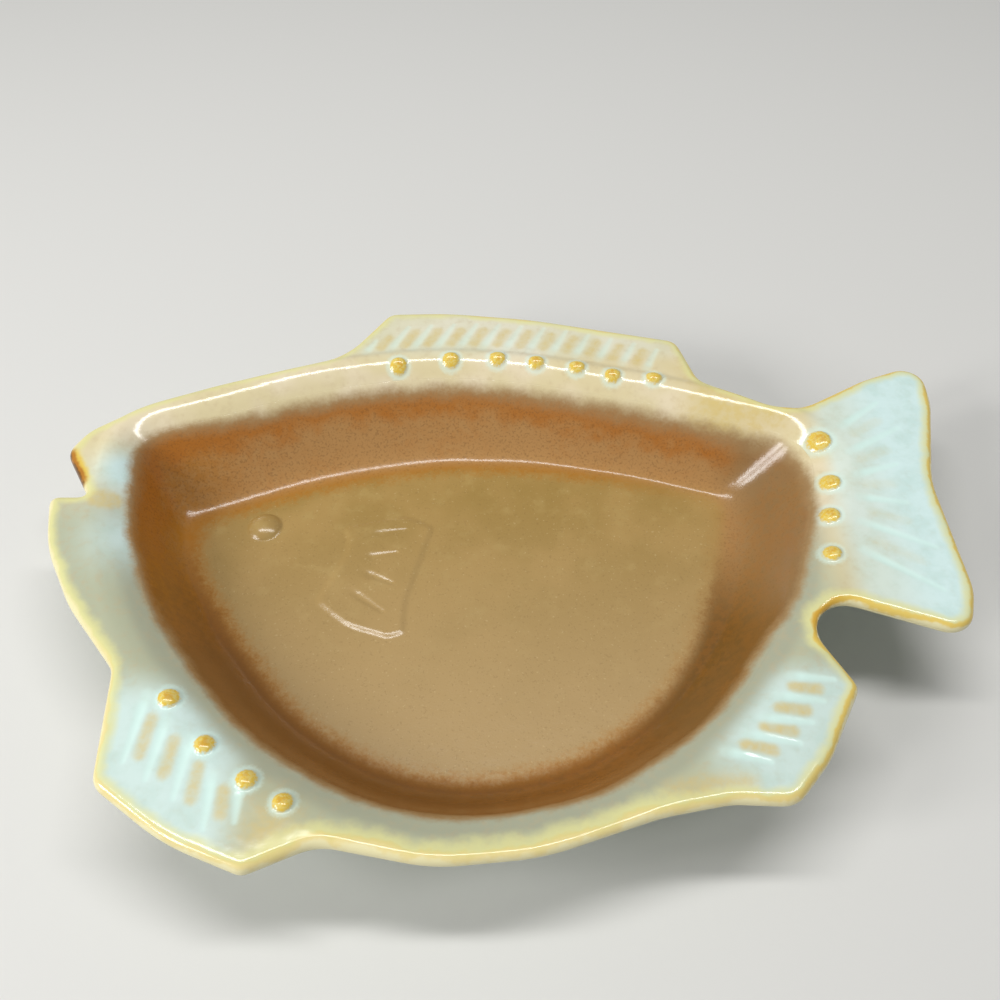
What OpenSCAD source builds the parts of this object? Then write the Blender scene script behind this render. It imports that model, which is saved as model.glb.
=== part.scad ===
// Fish shaped platter: one stoneware casting with its coats of glaze.
// The head points to -X, the dorsal fin to +Y, and the foot ring stands on z = 0.

/* [Overall size] */
// Overall length, from the lips to the tail
length = 340; // [280:1:420]
// Overall width, from the pelvic fin to the dorsal fin
width = 244; // [200:1:300]
// Height of the rim's crest above the table
height = 40; // [36:0.5:52]

/* [Rim and flange] */
// Thickness of the rolled lip at the edge, glaze included
lip_t = 5.6; // [4.6:0.1:6.4]
// How far the flange and its fins lie below the crest round the well
flange_drop = 0.9; // [0.5:0.1:1.5]
// Width of the shoulder that slopes from the crest down into the well
shoulder_w = 10.5; // [8:0.5:12]
// How far the shoulder drops from the crest to the well's edge
shoulder_drop = 5; // [3:0.5:7]
// Width over which the crest falls away into the flange
crest_fall_w = 4.5; // [3:0.5:8]

/* [Well] */
// Thickness of the well's floor and wall, glaze included
wall_t = 6.4; // [5:0.1:8]

/* [Foot ring] */
// Height of the foot ring
foot_h = 4; // [2:0.5:6]
// Width of the foot ring where it stands
foot_w = 5; // [3:0.5:8]
// Chamfer on both edges of the foot ring
foot_chamfer = 0.8; // [0.4:0.1:1.2]

/* [Glaze] */
// Thickness of every coat of glaze
glaze_t = 0.4; // [0.3:0.05:0.7]

/* [Fin rays] */
// Number of rays pressed into the dorsal fin
dorsal_rays = 13; // [8:1:16]
// Width of a ray where it starts
ray_w = 2.8; // [1.6:0.1:3.4]
// Depth of a ray where it starts
ray_depth = 1; // [0.5:0.1:1.6]

/* [Beads] */
// Width of a bead
bead_d = 7.4; // [5:0.1:9]
// Height of a bead above the crest
bead_h = 1.7; // [1:0.1:2.5]

/* [Eye and pectoral fin] */
// Width of the eye
eye_d = 13.5; // [9:0.5:18]
// Height of the eye above the floor
eye_h = 2.6; // [1.5:0.1:4]
// Height of the pectoral fin above the floor
pectoral_h = 1.2; // [0.8:0.1:2]

/* [Smoothness] */
// Largest gap between a facet and the curve it stands for
facet_gap = 0.55; // [0.2:0.05:0.8]

/* [Hidden] */

// Largest turn between two facets of the outlines, and of the lip and the domes, in degrees
turn_step = 40;
roll_step = 45;
// Width of the drawn fish as a share of its length
drawn_width_share = 0.718;

// Share of a side that the two arcs at its ends may take together
arc_share = 0.99;

// Outline of the fish: corners with their radii, as shares of the length, from the jaw's tip
// round the belly, the tail and the dorsal fin to the mouth
fish_shares = [
  [-0.499, 0.050, 0.009],   // lower jaw
  [-0.483, -0.018, 0.176],
  [-0.441, -0.091, 0.176],
  [-0.379, -0.165, 0.018],  // cheek
  [-0.369, -0.282, 0.021],  // pelvic fin
  [-0.297, -0.333, 0.235],
  [-0.225, -0.361, 0.010],
  [-0.165, -0.335, 0.053],  // belly
  [-0.065, -0.354, 0.176],
  [0.029, -0.345, 0.235],
  [0.132, -0.310, 0.176],
  [0.194, -0.298, 0.074],   // anal fin
  [0.251, -0.300, 0.026],
  [0.288, -0.258, 0.088],
  [0.330, -0.185, 0.012],
  [0.266, -0.060, 0.035],   // notch under the tail
  [0.453, -0.128, 0.026],   // tail
  [0.471, -0.074, 0.074],
  [0.467, 0.072, 0.147],
  [0.499, 0.194, 0.118],
  [0.502, 0.263, 0.025],
  [0.426, 0.233, 0.176],
  [0.329, 0.176, 0.065],    // waist
  [0.230, 0.233, 0.024],    // dorsal fin
  [0.210, 0.303, 0.018],
  [0.029, 0.345, 0.441],
  [-0.074, 0.357, 0.353],
  [-0.149, 0.355, 0.018],
  [-0.199, 0.275, 0.088],
  [-0.347, 0.224, 0.441],   // forehead
  [-0.426, 0.190, 0.176],
  [-0.481, 0.148, 0.053],
  [-0.497, 0.115, 0.021],   // upper lip
  [-0.457, 0.050, 0.004],   // mouth
];

// Edge of the well, and outline of its flat floor, corner by corner
well_shares = [
  [-0.426, 0.145, 0.035],
  [-0.413, 0.026, 0.265],
  [-0.356, -0.107, 0.353],
  [-0.250, -0.234, 0.324],
  [-0.129, -0.303, 0.265],
  [-0.024, -0.316, 0.265],
  [0.088, -0.291, 0.235],
  [0.206, -0.210, 0.294],
  [0.285, -0.094, 0.382],
  [0.329, 0.032, 0.588],
  [0.354, 0.140, 0.056],
  [0.176, 0.200, 0.882],
  [0.029, 0.237, 0.588],
  [-0.088, 0.250, 0.441],
  [-0.229, 0.224, 0.588],
];
floor_shares = [
  [-0.372, 0.079, 0.024],
  [-0.356, 0.009, 0.176],
  [-0.303, -0.072, 0.353],
  [-0.218, -0.176, 0.294],
  [-0.118, -0.238, 0.220],
  [-0.024, -0.250, 0.220],
  [0.068, -0.226, 0.220],
  [0.147, -0.172, 0.265],
  [0.203, -0.091, 0.324],
  [0.234, 0.003, 0.441],
  [0.256, 0.113, 0.026],
  [0.138, 0.149, 0.588],
  [0.024, 0.168, 0.441],
  [-0.088, 0.168, 0.441],
  [-0.221, 0.141, 0.588],
];

// Inside of the well from its floor to the crest: share of the way from the floor's outline to the
// well's edge, share of the shoulder's width, slope of the surface in degrees
wall_shares = [
  [0, 0, 0],
  [0.10, 0, 16],
  [0.25, 0, 38],
  [0.88, 0, 46],
  [1, 0, 36],
  [1, 0.55, 25],
  [1, 1, 8],
];
// Height of each of those rows: share of the wall's height up to the well's edge, then of the drop
wall_rise_shares = [[0, 0], [0.03, 0], [0.16, 0], [0.88, 0], [1, 0], [1, 0.68], [1, 1]];
// The rows that the outside of the well follows, at the wall's thickness
outside_rows = [0, 2, 3, 5];

// Rays of the tail, pelvic and anal fins, from the wide end to the narrow one
ray_shares = [
  [0.384, 0.153, 0.432, 0.191],
  [0.384, 0.113, 0.447, 0.150],
  [0.385, 0.079, 0.432, 0.094],
  [0.381, 0.046, 0.429, 0.038],
  [0.375, 0.012, 0.444, -0.022],
  [0.368, -0.026, 0.437, -0.076],
  [-0.338, -0.194, -0.345, -0.262],
  [-0.315, -0.221, -0.321, -0.279],
  [-0.289, -0.239, -0.293, -0.297],
  [-0.263, -0.275, -0.262, -0.324],
  [-0.237, -0.288, -0.236, -0.318],
  [0.266, -0.175, 0.305, -0.179],
  [0.250, -0.196, 0.291, -0.202],
  [0.232, -0.219, 0.276, -0.224],
  [0.215, -0.235, 0.261, -0.245],
  [0.193, -0.252, 0.232, -0.263],
];
// Feet of the dorsal rays: from and to along X, top of their arc, its middle and its bend
dorsal_foot_shares = [-0.173, 0.168, 0.287, -0.059, 0.717];
// Step of a dorsal ray from its foot to its end
dorsal_ray_shares = [0.021, 0.044];

// Beads on the crest: place, and width as a share of the bead's
bead_shares = [
  [-0.132, 0.256, 1],
  [-0.069, 0.265, 1],
  [-0.012, 0.266, 1],
  [0.035, 0.259, 0.95],
  [0.084, 0.250, 0.95],
  [0.126, 0.236, 0.95],
  [0.175, 0.231, 0.95],
  [0.354, 0.132, 1.3],
  [0.354, 0.071, 1.1],
  [0.344, 0.024, 1.05],
  [0.335, -0.029, 0.95],
  [-0.317, -0.198, 1],
  [-0.275, -0.245, 0.95],
  [-0.232, -0.279, 0.95],
  [-0.197, -0.300, 0.9],
];

// Eye, outline of the pectoral fin and its rays
eye_shares = [-0.282, 0.071];
pectoral_shares = [
  [-0.191, 0.072, 0.009],
  [-0.183, 0.040, 0.050],
  [-0.213, -0.034, 0.012],
  [-0.176, -0.066, 0.060],
  [-0.129, -0.082, 0.020],
  [-0.110, -0.075, 0.008],
  [-0.110, -0.035, 0.060],
  [-0.084, 0.071, 0.009],
  [-0.118, 0.090, 0.040],
];
pectoral_ray_shares = [
  [-0.159, 0.059, -0.118, 0.066],
  [-0.162, 0.026, -0.127, 0.033],
  [-0.162, 0.006, -0.129, -0.009],
  [-0.174, -0.019, -0.137, -0.047],
];

// Heights of the glazed surfaces
lip_r = lip_t / 2;
flange_top = height - flange_drop;
flange_bottom = flange_top - lip_t;
lip_z = flange_top - lip_r;
floor_z = foot_h + wall_t;
well_edge_z = height - shoulder_drop;
// Plan that holds the whole dish
all_round = [[-length, -width], [length, -width], [length, width], [-length, width]];
// Overrun of every cut, and depth to which a raised form is sunk into what carries it
cut_over = height / 8;
sunk = glaze_t * 1.5;

function unit(v) = v / norm(v);
function mix(a, b, t) = a + (b - a) * t;
function xy(p) = [p[0], p[1]];
function turned(v, a) = [v[0] * cos(a) - v[1] * sin(a), v[0] * sin(a) + v[1] * cos(a)];
// Corners before and after the corner i of a closed outline, and its turn, positive to the left
function before(c, i) = xy(c[(i + len(c) - 1) % len(c)]);
function after(c, i) = xy(c[(i + 1) % len(c)]);
function turn(c, i) =
  let (u = unit(xy(c[i]) - before(c, i)), v = unit(after(c, i) - xy(c[i])))
  sign(cross(u, v)) * acos(u * v);

// Shares turned into sizes, where an arc is no longer than the sides next to it leave room for
function setback(c, i) = c[i][2] * tan(abs(turn(c, i)) / 2);
function side_room(c, i, j) = norm(xy(c[j]) - xy(c[i])) / (setback(c, i) + setback(c, j));
function eased(c) = [for (i = [0:len(c) - 1])
  let (last = (i + len(c) - 1) % len(c), next = (i + 1) % len(c))
  [c[i][0], c[i][1], c[i][2] * min(1, side_room(c, i, last) * arc_share, side_room(c, i, next) * arc_share)]];
function sized(c) =
  eased([for (q = c) [q[0] * length, q[1] * width / drawn_width_share, q[2] * length]]);
// The same with the number of facets of each arc
function arc_facets(c, i) =
  ceil(abs(turn(c, i)) / min(turn_step, 2 * acos(1 - min(1, facet_gap / c[i][2]))));
function cornered(shares, facets) =
  let (c = sized(shares))
  [for (i = [0:len(c) - 1]) concat(c[i], is_undef(facets) ? arc_facets(c, i) : facets[i][3])];

// The same corners moved outward by out, their arcs kept round
function moved(c, out) = [for (i = [0:len(c) - 1])
  let (u = unit(xy(c[i]) - before(c, i)), v = unit(after(c, i) - xy(c[i])))
  let (n = [u[1] + v[1], -u[0] - v[0]] / (1 + u * v), side = sign(turn(c, i)))
  [c[i][0] + n[0] * out, c[i][1] + n[1] * out, max(c[i][2] + side * out, facet_gap), c[i][3]]];
function arc(c, i) =
  let (q = xy(c[i]), a = unit(before(c, i) - q), b = unit(after(c, i) - q), half = acos(a * b) / 2)
  let (centre = q + unit(a + b) * c[i][2] / sin(half), from = q + a * c[i][2] / tan(half) - centre)
  [for (k = [0:c[i][3]]) centre + turned(from, turn(c, i) * k / c[i][3])];
function drawn(c) = [for (i = [0:len(c) - 1]) each arc(c, i)];

// The drawn fish is fitted to the length and the width
fish_corners = cornered(fish_shares);
fish_drawn = drawn(fish_corners);
low = [min([for (p = fish_drawn) p[0]]), min([for (p = fish_drawn) p[1]])];
high = [max([for (p = fish_drawn) p[0]]), max([for (p = fish_drawn) p[1]])];
function fitted(p) = [
  length * ((p[0] - low[0]) / (high[0] - low[0]) - 1 / 2),
  width * ((p[1] - low[1]) / (high[1] - low[1]) - 1 / 2)];
function outline(c, out) = [for (p = drawn(moved(c, out))) fitted(p)];
function place(s) = fitted([s[0] * length, s[1] * width / drawn_width_share]);
function fish(inset) = outline(fish_corners, -inset);
// Outlines that cross another of the same corners have tighter ones, so that their facets don't meet
function tightened(c) = [for (q = c) [q[0], q[1], q[2] * 0.85, q[3] + 1]];
function tight_fish(inset) = outline(tightened(fish_corners), -inset);

// Ring between the floor's outline (run 0) and the well's edge (run 1), moved outward by out
well_corners = cornered(well_shares);
floor_corners = cornered(floor_shares, well_corners);
function ring(run, out) =
  let (a = outline(floor_corners, out), b = outline(well_corners, out))
  [for (i = [0:len(a) - 1]) mix(a[i], b[i], run)];
function tight_edge(out) = outline(tightened(well_corners), out);

// Rings of the well's inside with their heights, moved into the dish by deep
function wall_z(k) =
  mix(floor_z, well_edge_z, wall_rise_shares[k][0]) + shoulder_drop * wall_rise_shares[k][1];
function wall_rings(deep) = [for (k = [0:len(wall_shares) - 1])
  let (w = wall_shares[k])
  [ring(w[0], shoulder_w * w[1] + deep * sin(w[2])), wall_z(k) - deep * cos(w[2])]];

// Solid through rings of as many points each, from the bottom one to the top one
module loft(rings) {
  n = len(rings[0][0]);
  m = len(rings);
  polyhedron(
    points = [for (r = rings, p = r[0]) [p[0], p[1], r[1]]],
    faces = concat(
      [[for (i = [0:n - 1]) i]],
      [for (k = [0:m - 2], i = [0:n - 1])
        [k * n + i, (k + 1) * n + i, (k + 1) * n + (i + 1) % n, k * n + (i + 1) % n]],
      [[for (i = [n - 1:-1:0]) (m - 1) * n + i]]));
}
module column(points, from, to) {
  translate([0, 0, from]) linear_extrude(to - from) polygon(points);
}

// Flange with its rolled lip, its glazed surfaces taken in by skin
module flange(skin) {
  r = lip_r - skin;
  loft([for (a = [-90:roll_step:90]) [fish(lip_r - r * cos(a)), lip_z + r * sin(a)]]);
}

// Rise of the flange towards the crest round the well, bevelled where it comes near the lip
module crest(skin) {
  intersection() {
    loft([
      [tight_edge(shoulder_w + 2 * crest_fall_w), flange_top - flange_drop - skin],
      [tight_edge(shoulder_w - flange_drop), height - skin],
    ]);
    loft([
      [fish(0), lip_z - skin],
      [fish(lip_t), height + flange_drop - skin],
    ]);
  }
}

// Hollow of the well, up to the crest and out at the top, kept off the lip
module hollow(deep) {
  intersection() {
    loft(concat(wall_rings(deep), [[ring(1, shoulder_w + cut_over), height + cut_over]]));
    column(tight_fish(lip_t * 0.8 - deep), 0, height + cut_over * 2);
  }
}

// Outside of the well below the flange, and the foot ring, which is left bare
module bowl(skin) {
  rings = wall_rings(wall_t - skin);
  intersection() {
    loft(concat([for (k = outside_rows) rings[k]], [[ring(1, shoulder_w), lip_z]]));
    column(tight_fish(lip_t * 0.4 + skin), 0, height);
  }
}
module foot() {
  difference() {
    loft([
      [ring(0, -foot_chamfer), 0],
      [ring(0, 0), foot_chamfer],
      [ring(0, foot_chamfer), foot_h + wall_t / 2],
    ]);
    loft([
      [ring(0, foot_chamfer - foot_w), -foot_chamfer * 2],
      [ring(0, -foot_chamfer * 2 - foot_w), foot_chamfer],
      [ring(0, -foot_chamfer * 3 - foot_w), foot_h + wall_t / 4],
    ]);
  }
}

// V-shaped ray from the wide end p to the narrow one q, cut down from the height z
module ray(p, q, w, depth, z) {
  along = unit(q - p);
  across = turned(along, 90);
  function at(c, forth, side, h) = let (v = c + along * forth + across * side) [v[0], v[1], z + h];
  hull()
    polyhedron(
      points = [
        at(p, -w, w, depth), at(p, -w, -w, depth), at(q, w / 2, -w / 2, depth), at(q, w / 2, w / 2, depth),
        at(p, w, 0, -depth), at(q, -w / 2, 0, -depth / 2),
      ],
      faces = [[0, 3, 2, 1], [0, 1, 4], [1, 2, 5, 4], [2, 3, 5], [3, 0, 4, 5]]);
}
module fin_rays(skin) {
  for (s = ray_shares)
    ray(place([s[0], s[1]]), place([s[2], s[3]]), ray_w, ray_depth, flange_top - skin);
  for (i = [0:dorsal_rays - 1]) {
    f = dorsal_foot_shares;
    x = mix(f[0], f[1], i / (dorsal_rays - 1));
    foot = [x, f[2] - f[4] * pow(x - f[3], 2)];
    reach = i == 0 ? 1 / 2 : 1 - pow(i / (dorsal_rays - 1), 3) / 4;
    ray(place(foot), place(foot + dorsal_ray_shares * reach), ray_w, ray_depth, flange_top - skin);
  }
}

// Low dome of the width d and the height h, taken in by skin, on a root sunk into what carries it
module dome(d, h, root, skin) {
  r = d / 2 - skin;
  rotate_extrude($fn = ceil(180 / acos(1 - facet_gap / (d / 2))))
    polygon(concat([[0, -root], [r, -root]], [for (a = [0:roll_step:90]) [r * cos(a), (h - skin) * sin(a)]]));
}
module beads(skin) {
  for (b = bead_shares) {
    at = place([b[0], b[1]]);
    translate([at[0], at[1], height - sunk])
      dome(bead_d * b[2], bead_h + sunk, shoulder_drop - sunk, skin);
  }
}
module eye(skin) {
  at = place(eye_shares);
  translate([at[0], at[1], floor_z]) dome(eye_d, eye_h, sunk + skin, skin);
}
module pectoral(skin) {
  panel = cornered(pectoral_shares);
  difference() {
    loft([
      [outline(panel, -skin), floor_z - sunk - skin],
      [outline(panel, -skin), floor_z - skin],
      [outline(panel, -pectoral_h - skin), floor_z + pectoral_h - skin],
    ]);
    for (s = pectoral_ray_shares)
      ray(place([s[0], s[1]]), place([s[2], s[3]]), ray_w * 2 / 3, pectoral_h * 3 / 4, floor_z + pectoral_h - skin);
  }
}

// The dish without its foot, its surfaces taken in by skin
module dish(skin) {
  difference() {
    union() {
      flange(skin);
      crest(skin);
      bowl(skin);
    }
    difference() {
      hollow(skin);
      eye(skin);
      pectoral(skin);
    }
    fin_rays(skin);
  }
  beads(skin);
}
module clay() {
  dish(glaze_t);
  foot();
}
module coat() {
  difference() {
    dish(0);
    clay();
  }
}

// Spaces of the coat in the well, above the lip's widest line and within the foot ring
module near_hollow(out) {
  intersection() {
    hollow(glaze_t * 3);
    column(ring(1, out), 0, height);
  }
}
module inside_well() {
  intersection() {
    near_hollow(shoulder_w / 3);
    column(all_round, 0, well_edge_z - flange_drop);
  }
}
module above_lip() {
  column(all_round, lip_z, height * 2);
  near_hollow(shoulder_w / 3);
}
module within_foot() {
  column(ring(0, -foot_w / 2), -foot_h, foot_h + wall_t / 4);
}

module clay_body() {
  color("#b79c78") clay();
}
module rim_glaze() {
  color("#bfdcd6")
    difference() {
      intersection() {
        coat();
        above_lip();
      }
      inside_well();
    }
}
module well_glaze() {
  color("#8a5a2a")
    intersection() {
      coat();
      inside_well();
    }
}
module outside_glaze() {
  color("#a9cdc8")
    difference() {
      coat();
      above_lip();
      inside_well();
      within_foot();
    }
}
module recess_glaze() {
  color("#a9cdc8")
    intersection() {
      coat();
      within_foot();
    }
}

clay_body();
rim_glaze();
well_glaze();
outside_glaze();
recess_glaze();
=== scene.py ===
import cmath
import math

import bpy
import numpy as np
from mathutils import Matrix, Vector
from mathutils.kdtree import KDTree


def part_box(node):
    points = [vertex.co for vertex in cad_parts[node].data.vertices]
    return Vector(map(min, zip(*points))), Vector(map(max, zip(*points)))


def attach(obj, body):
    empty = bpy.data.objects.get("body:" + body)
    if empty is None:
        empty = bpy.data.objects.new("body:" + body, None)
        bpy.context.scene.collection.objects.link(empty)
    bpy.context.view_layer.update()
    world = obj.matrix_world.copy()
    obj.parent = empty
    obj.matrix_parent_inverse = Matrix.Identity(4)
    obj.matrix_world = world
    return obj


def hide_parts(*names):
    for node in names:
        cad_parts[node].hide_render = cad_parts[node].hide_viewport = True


# A fish shaped stoneware platter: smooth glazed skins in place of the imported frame's solids
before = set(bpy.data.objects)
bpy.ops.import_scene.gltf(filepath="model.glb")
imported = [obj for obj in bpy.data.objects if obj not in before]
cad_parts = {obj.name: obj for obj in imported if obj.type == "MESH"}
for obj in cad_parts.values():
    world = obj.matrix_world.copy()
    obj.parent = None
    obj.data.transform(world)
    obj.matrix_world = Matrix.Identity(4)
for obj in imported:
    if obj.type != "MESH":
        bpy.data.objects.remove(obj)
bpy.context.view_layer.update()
mm = 0.001

# Sizes in millimetres, the overall ones from the frame. A point of the plan is a complex number, its
# x towards the tail and its y towards the back.
glazeLow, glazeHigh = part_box("rim_glaze")
dish = {
    "length": (glazeHigh.x - glazeLow.x) / mm,
    "width": (glazeHigh.y - glazeLow.y) / mm,
    "drawnWidthShare": 0.718,  # width over length, in which the outlines are drawn
    "crestZ": 40,
    "flangeDrop": 0.9,  # flange below the crest
    "lipRadius": 2.8,
    "shoulderWidth": 10.5,  # from the well's edge out to the crest
    "shoulderDrop": 5,
    "shoulderCurve": (1.526, -0.052, -0.474),
    "crestFall": 4.5,
    "frontShoulder": 14.5,  # width at the front, where the flange climbs on to its lip
    "crestFrom": (10, 45),  # the crest sets in over these y
    "crestEnd": (130, 106),  # and ends over these x
    "waviness": 0.12,
    "wall": 6.4,
    "footHeight": 4,
    "footWidth": 5,
    "footChamfer": 0.8,
    "glaze": 0.4,
}
flangeZ = dish["crestZ"] - dish["flangeDrop"]
lipZ = flangeZ - dish["lipRadius"]
floorZ = dish["footHeight"] + dish["wall"]
wellEdgeZ = dish["crestZ"] - dish["shoulderDrop"]

# Corners with their radii, as shares of the length
fishOutline = [
    (-0.499, 0.050, 0.009),  # lower jaw
    (-0.483, -0.018, 0.176),
    (-0.441, -0.091, 0.176),
    (-0.379, -0.165, 0.018),  # cheek
    (-0.369, -0.282, 0.021),  # pelvic fin
    (-0.297, -0.333, 0.235),
    (-0.225, -0.361, 0.010),
    (-0.165, -0.335, 0.053),  # belly
    (-0.065, -0.354, 0.176),
    (0.029, -0.345, 0.235),
    (0.132, -0.310, 0.176),
    (0.194, -0.298, 0.074),  # anal fin
    (0.251, -0.300, 0.026),
    (0.288, -0.258, 0.088),
    (0.330, -0.185, 0.012),
    (0.266, -0.060, 0.035),  # notch under the tail
    (0.453, -0.128, 0.026),  # tail
    (0.471, -0.074, 0.074),
    (0.467, 0.072, 0.147),
    (0.499, 0.194, 0.118),
    (0.502, 0.263, 0.025),
    (0.426, 0.233, 0.176),
    (0.329, 0.176, 0.065),  # waist
    (0.230, 0.233, 0.024),  # dorsal fin
    (0.210, 0.303, 0.018),
    (0.029, 0.345, 0.441),
    (-0.074, 0.357, 0.353),
    (-0.149, 0.355, 0.018),
    (-0.199, 0.275, 0.088),
    (-0.347, 0.224, 0.441),  # forehead
    (-0.426, 0.190, 0.176),
    (-0.481, 0.148, 0.053),
    (-0.497, 0.115, 0.021),  # upper lip
    (-0.457, 0.050, 0.004),  # mouth
]
wellOutline = [
    (-0.426, 0.145, 0.035), (-0.413, 0.026, 0.265), (-0.356, -0.107, 0.353),
    (-0.250, -0.234, 0.324), (-0.129, -0.303, 0.265), (-0.024, -0.316, 0.265),
    (0.088, -0.291, 0.235), (0.206, -0.210, 0.294), (0.285, -0.094, 0.382),
    (0.329, 0.032, 0.588), (0.354, 0.140, 0.056), (0.176, 0.200, 0.882),
    (0.029, 0.237, 0.588), (-0.088, 0.250, 0.441), (-0.229, 0.224, 0.588),
]
floorOutline = [
    (-0.372, 0.079, 0.024), (-0.356, 0.009, 0.176), (-0.303, -0.072, 0.353),
    (-0.218, -0.176, 0.294), (-0.118, -0.238, 0.220), (-0.024, -0.250, 0.220),
    (0.068, -0.226, 0.220), (0.147, -0.172, 0.265), (0.203, -0.091, 0.324),
    (0.234, 0.003, 0.441), (0.256, 0.113, 0.026), (0.138, 0.149, 0.588),
    (0.024, 0.168, 0.441), (-0.088, 0.168, 0.441), (-0.221, 0.141, 0.588),
]

# How outlines become rings: a spoke runs in from each point of the fish to its partners on well and floor
grid = {
    "dense": 4800,  # points round each finished outline
    "arcPoints": 25,
    "fishGirth": 1250,  # rough lengths round, to turn millimetres into points
    "wellGirth": 730,
    "fishSoftness": 1.3,  # millimetres over which glaze rounds a corner
    "wellSoftness": 3,
    "outwardSoftness": 3,
    "spokes": 720,  # points round every ring of the skins
    "crowding": 30,
    "bendReach": 4,
    "driftSoftness": 9,
    "driftKept": 0.9,
    "shoulderRoom": 0.72,  # most of the rim's width that the shoulder may take
    "spreadSoftness": 4,
}


def drawn(x, y):
    return complex(x * dish["length"], y * dish["width"] / dish["drawnWidthShare"])


# An outline of arcs and straights from its corners
def cornerPath(corners):
    points = [drawn(x, y) for x, y, radius in corners]
    arcs = []
    for i, here in enumerate(points):
        back = points[i - 1] - here
        ahead = points[(i + 1) % len(points)] - here
        back, ahead = back / abs(back), ahead / abs(ahead)
        radius = corners[i][2] * dish["length"]
        half = math.acos((back * ahead.conjugate()).real) / 2
        start = here + back * radius / math.tan(half)
        end = here + ahead * radius / math.tan(half)
        centre = here + (back + ahead) / abs(back + ahead) * radius / math.sin(half)
        turn = cmath.phase((end - centre) / (start - centre))
        arcs.append(centre + (start - centre) * np.exp(1j * turn * np.linspace(0, 1, grid["arcPoints"])))
    path = []
    for i, arc in enumerate(arcs):
        following = arcs[(i + 1) % len(arcs)][0]
        path += list(arc) + list(np.linspace(arc[-1], following, grid["arcPoints"] + 1)[1:-1])
    return np.array(path)


# Drawn points moved and stretched so that the fish fills the length and width
def fitted(path):
    low = complex(fishRaw.real.min(), fishRaw.imag.min())
    high = complex(fishRaw.real.max(), fishRaw.imag.max())
    across = (np.real(path) - low.real) / (high.real - low.real) - 0.5
    upward = (np.imag(path) - low.imag) / (high.imag - low.imag) - 0.5
    return dish["length"] * across + 1j * dish["width"] * upward


def place(x, y):
    return complex(fitted(drawn(x, y)))


# Points at even steps along a closed path, or their partners on another
def evenly(path, count, partner=None):
    closed = np.append(path, path[0])
    along = np.concatenate([[0], np.cumsum(np.abs(np.diff(closed)))])
    at = np.arange(count) * along[-1] / count
    followed = closed if partner is None else np.append(partner, partner[0])
    return np.interp(at, along, followed)


def softened(values, reach):
    frequency = np.fft.fftfreq(len(values))
    return np.fft.ifft(np.fft.fft(values) * np.exp(-2 * (math.pi * frequency * reach) ** 2))


def outward(path):
    along = np.roll(path, -1) - np.roll(path, 1)
    return -1j * along / np.abs(along)


def around(values, share):
    count = len(values)
    return np.interp((share % 1) * count, np.arange(count + 1), np.append(values, values[0]))


def treeOf(path):
    tree = KDTree(len(path))
    for i, p in enumerate(path):
        tree.insert((p.real, p.imag, 0), i)
    tree.balance()
    return tree


def gapsTo(tree, points):
    return np.array([tree.find((p.real, p.imag, 0))[2] for p in points])


def smooth(values, start, end):
    t = np.clip((values - start) / (end - start), 0, 1)
    return t * t * (3 - 2 * t)


# Dense outlines, softened a little as a moulded and glazed edge is
dense, spokes = grid["dense"], grid["spokes"]
fishStep, wellStep = dense / grid["fishGirth"], dense / grid["wellGirth"]
fishRaw = cornerPath(fishOutline)
fishPath = softened(fitted(evenly(fishRaw, dense)), fishStep * grid["fishSoftness"])
fishPath = (fishPath.real * dish["length"] / np.ptp(fishPath.real)
            + 1j * fishPath.imag * dish["width"] / np.ptp(fishPath.imag))
fishPath -= complex((fishPath.real.max() + fishPath.real.min()) / 2,
                    (fishPath.imag.max() + fishPath.imag.min()) / 2)
wellRaw, floorRaw = fitted(cornerPath(wellOutline)), fitted(cornerPath(floorOutline))
wellPath = softened(evenly(wellRaw, dense), wellStep * grid["wellSoftness"])
floorPath = softened(evenly(wellRaw, dense, floorRaw), wellStep * grid["wellSoftness"])
fishTree, wellTree = treeOf(fishPath), treeOf(wellPath)

# The spokes lie closer together round tight corners
bends = np.abs(np.angle(np.roll(fishPath, -1) - fishPath) - np.angle(fishPath - np.roll(fishPath, 1)))
bends = np.minimum(bends, 2 * math.pi - bends)
crowding = 1 + grid["crowding"] * softened(bends, fishStep * grid["bendReach"]).real
spokeShare = np.interp(np.arange(spokes) / spokes, np.cumsum(crowding) / crowding.sum(),
                       np.arange(1, dense + 1) / dense)
fishSpokes = around(fishPath, spokeShare)
fishNormals = outward(fishPath)
fishOut = around(outward(softened(fishPath, fishStep * grid["outwardSoftness"])), spokeShare)
fishOut /= np.abs(fishOut)
nearest = np.array([wellTree.find((p.real, p.imag, 0))[1] for p in fishSpokes]) / dense
drift = softened(np.unwrap(nearest, period=1) - spokeShare, grid["driftSoftness"]).real
wellShare = spokeShare + drift.mean() + (drift - drift.mean()) * grid["driftKept"]
wellSpokes = around(wellPath, wellShare)
wellOut = around(outward(wellPath), wellShare)
floorSpokes = around(floorPath, wellShare)
floorOut = around(outward(floorPath), wellShare)

# The crest keeps inside the lip where the rim is narrow
rimRoom = gapsTo(fishTree, wellSpokes) - dish["lipRadius"]
spread = np.minimum(1, grid["shoulderRoom"] * rimRoom / dish["shoulderWidth"])
spread = softened(spread, grid["spreadSoftness"]).real
crestLine = wellSpokes + wellOut * dish["shoulderWidth"] * spread
print("spokes laid out, least step along the well", round(float(np.diff(wellShare).min() * dense), 3))


# Hand made unevenness of the rim: three slow waves, 14 to 31 mm to a radian
def unevenness(points):
    x, y = points.real, points.imag
    waves = (np.sin(x / 23 + 1.3) * np.cos(y / 31) + 0.6 * np.sin((x + y) / 14 + 0.7)
             + 0.4 * np.cos((x - 2 * y) / 19))
    return dish["waviness"] * waves


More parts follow.
